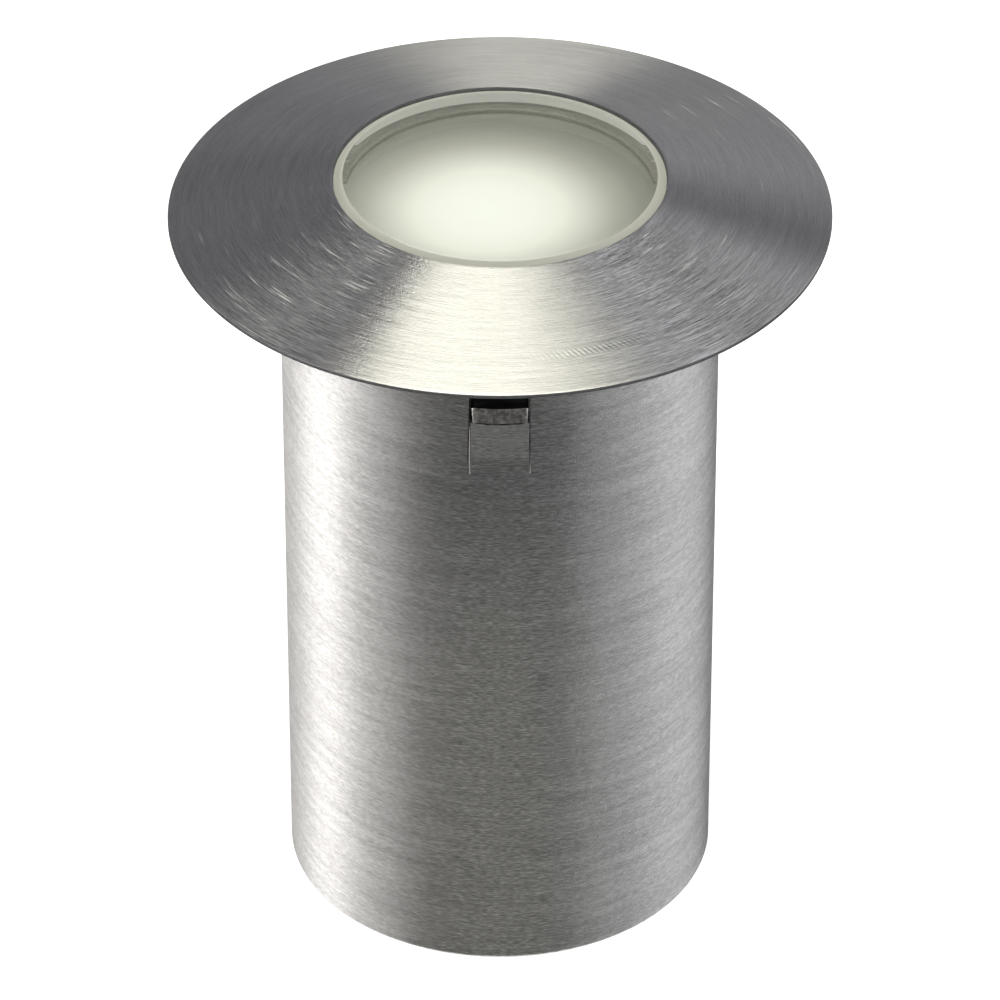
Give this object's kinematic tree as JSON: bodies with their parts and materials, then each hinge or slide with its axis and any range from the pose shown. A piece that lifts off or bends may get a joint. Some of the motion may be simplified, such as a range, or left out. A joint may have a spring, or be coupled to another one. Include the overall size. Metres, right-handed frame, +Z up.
{
  "type": "recessed outdoor lamp",
  "caption": "Round recessed deck lamp: shallow conical steel bezel with a flush frosted glass light, on a rechargeable insert that lifts out of a brushed steel tube sleeve with spring tongues.",
  "frame": {"origin": "centre of the mounting sleeve's lower end, the plane the lamp stands on", "axes": "+Z up along the lamp's axis, -Y towards the spring tongue that shows in front, +X to the right seen from there"},
  "size_m": [0.06, 0.06, 0.074],
  "materials": {
    "brushed_tube": "drawn stainless steel tube, fine brushing around it",
    "turned_steel": "stainless steel, turned and brushed in circles",
    "clear_glass": "clear toughened glass, ground bevel",
    "frosted": "frosted diffuser, lit from below",
    "clear_rubber": "translucent silicone gasket",
    "black_rubber": "black nitrile rubber",
    "anodised": "turned aluminium, black anodised",
    "bare_aluminium": "turned aluminium, bare",
    "reflector_white": "white moulded plastic",
    "emitter": "LED package with phosphor",
    "board_white": "white solder mask on an aluminium board",
    "board_green": "green solder mask",
    "black_plastic": "black moulded plastic, fine texture",
    "screw_steel": "stainless screws",
    "contact_brass": "plated spring brass",
    "socket_shell": "stamped steel shell",
    "cell_wrap": "plain blue shrink sleeve",
    "lead_red": "red silicone insulation",
    "lead_black": "black silicone insulation",
    "button_rubber": "dark grey rubber"
  },
  "bodies": {
    "sleeve": {"mounting_sleeve": "brushed_tube", "sleeve_base": "black_plastic"},
    "tongue_front": {"tongue_front": "brushed_tube"},
    "tongue_right": {"tongue_right": "brushed_tube"},
    "tongue_left": {"tongue_left": "brushed_tube"},
    "insert": {"bezel": "turned_steel", "bezel_seal": "black_rubber", "bezel_collar": "turned_steel", "glass_lens": "clear_glass", "lens_gasket": "clear_rubber", "diffuser": "frosted", "reflector": "reflector_white", "led_emitter": "emitter", "led_board": "board_white", "board_screws": "screw_steel", "heat_spreader": "bare_aluminium", "inner_can": "anodised", "can_seal": "black_rubber", "grip_rings": "black_rubber", "battery_cradle": "black_plastic", "battery_cell": "cell_wrap", "upper_contact": "contact_brass", "lower_contact": "contact_brass", "control_board": "board_green", "charge_socket": "socket_shell", "button_switch": "black_plastic", "lead_negative": "lead_black", "lead_positive": "lead_red", "base_cap": "black_plastic", "base_seal": "black_rubber", "cap_screws": "screw_steel"},
    "power_button": {"power_button": "button_rubber"},
    "port_plug": {"port_plug": "button_rubber"}
  },
  "joints": [
    {"name": "insert_lift", "type": "slide", "parent": "sleeve", "child": "insert", "axis": [0, 0, 1], "range_m": [0, 0.065]},
    {"name": "tongue_front_flex", "type": "hinge", "parent": "sleeve", "child": "tongue_front", "pos_m": [0, -0.02, 0.0563], "axis": [-1, 0, 0], "range_deg": [0, 25.5], "stiffness_Nm_per_rad": 0.6},
    {"name": "tongue_right_flex", "type": "hinge", "parent": "sleeve", "child": "tongue_right", "pos_m": [0.01732, 0.01, 0.0563], "axis": [0.5, -0.866, 0], "range_deg": [0, 25.5], "stiffness_Nm_per_rad": 0.6},
    {"name": "tongue_left_flex", "type": "hinge", "parent": "sleeve", "child": "tongue_left", "pos_m": [-0.01732, 0.01, 0.0563], "axis": [0.5, 0.866, 0], "range_deg": [0, 25.5], "stiffness_Nm_per_rad": 0.6},
    {"name": "button_press", "type": "slide", "parent": "insert", "child": "power_button", "axis": [0, 0, 1], "range_m": [0, 0.001], "stiffness_N_per_m": 600, "springref_m": -0.0008},
    {"name": "port_plug_pull", "type": "slide", "parent": "insert", "child": "port_plug", "axis": [0, 0, -1], "range_m": [0, 0.0055]}
  ]
}
